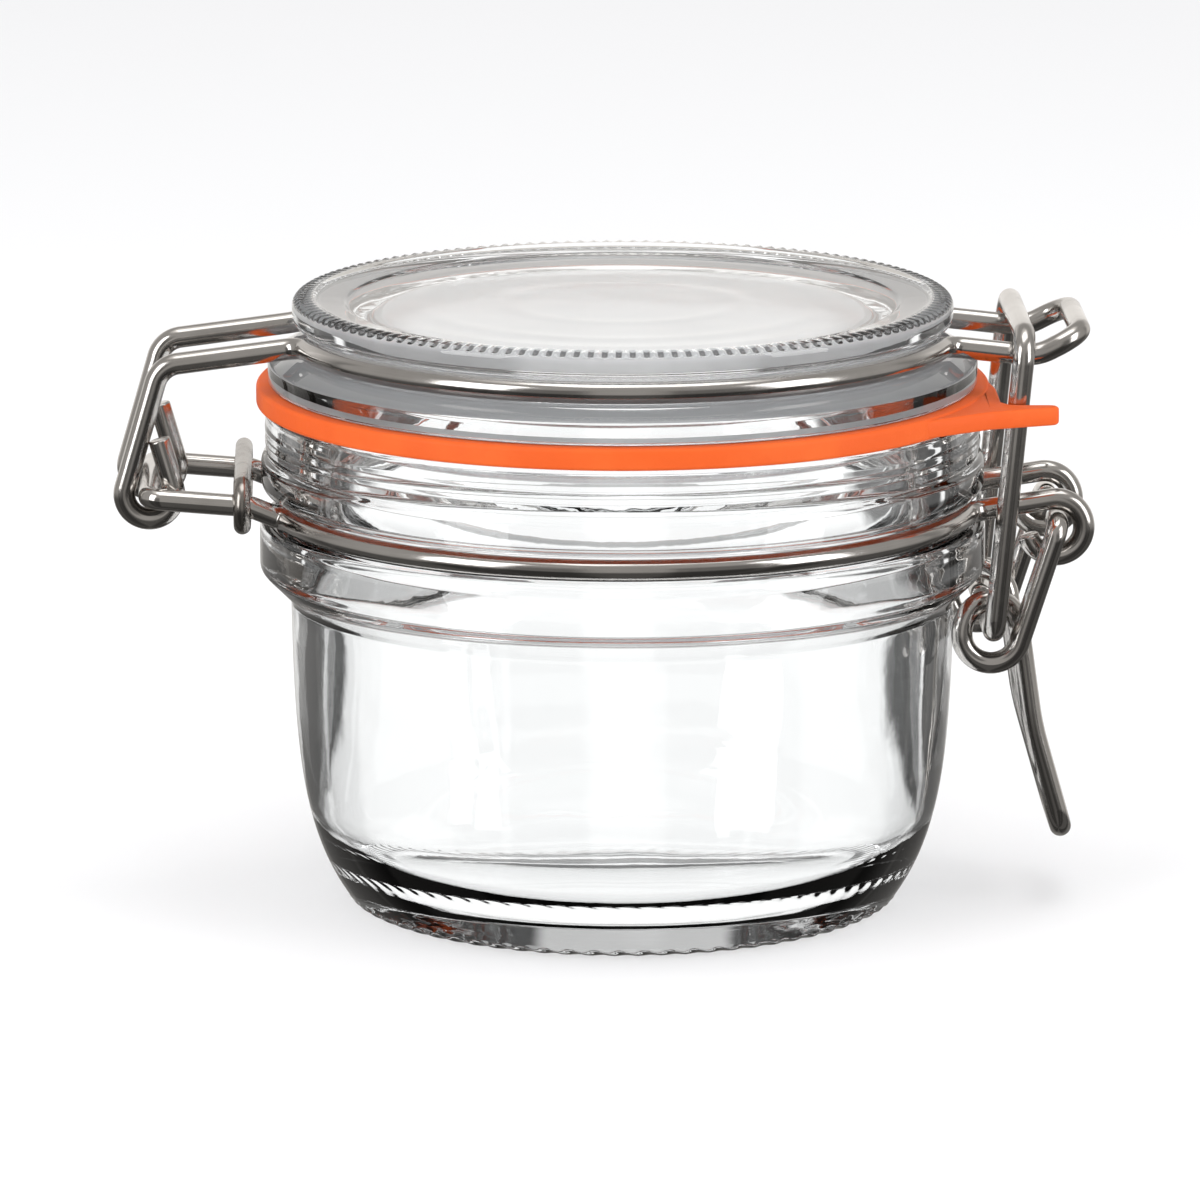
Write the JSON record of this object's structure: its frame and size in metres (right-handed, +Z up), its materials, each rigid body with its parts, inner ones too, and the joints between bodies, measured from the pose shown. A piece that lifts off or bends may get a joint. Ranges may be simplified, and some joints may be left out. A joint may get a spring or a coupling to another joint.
{
  "type": "bail clamp jar",
  "caption": "Small glass preserving jar with a glass lid, rubber gasket, wire hinge and over-centre wire latch.",
  "frame": {"origin": "middle of the plane of the bearing ring that the jar stands on, on the axis of the glass body", "axes": "+Z up along the axis of the glass body, +X towards the latch, -X towards the hinge"},
  "size_m": [0.1079, 0.081, 0.068],
  "materials": {
    "glass": "clear pressed glass, very faintly grey-green",
    "gasket_rubber": "matte orange natural rubber",
    "steel_wire": "bright drawn steel wire, polished"
  },
  "bodies": {
    "jar": {"jar_body": "glass", "collar_wire": "steel_wire", "hinge_clip": "steel_wire"},
    "lid_assembly": {"lid": "glass", "lid_wire": "steel_wire", "gasket": "gasket_rubber"},
    "lever": {"lever": "steel_wire"},
    "link": {"link": "steel_wire"}
  },
  "joints": [
    {"name": "lid_hinge", "type": "hinge", "parent": "jar", "child": "lid_assembly", "pos_m": [-0.0522, 0, 0.0474], "axis": [0, -1, 0], "range_deg": [0, 180]},
    {"name": "lever_swing", "type": "hinge", "parent": "jar", "child": "lever", "pos_m": [0.0476, 0, 0.04375], "axis": [0, -1, 0], "range_deg": [0, 150]},
    {"name": "link_swing", "type": "hinge", "parent": "lever", "child": "link", "pos_m": [0.04045, 0, 0.0323], "axis": [0, -1, 0], "range_deg": [-324, 0]}
  ],
  "couplings": [
    {"joint": "link_swing", "follows": "lever_swing", "ratio": -2.16}
  ]
}
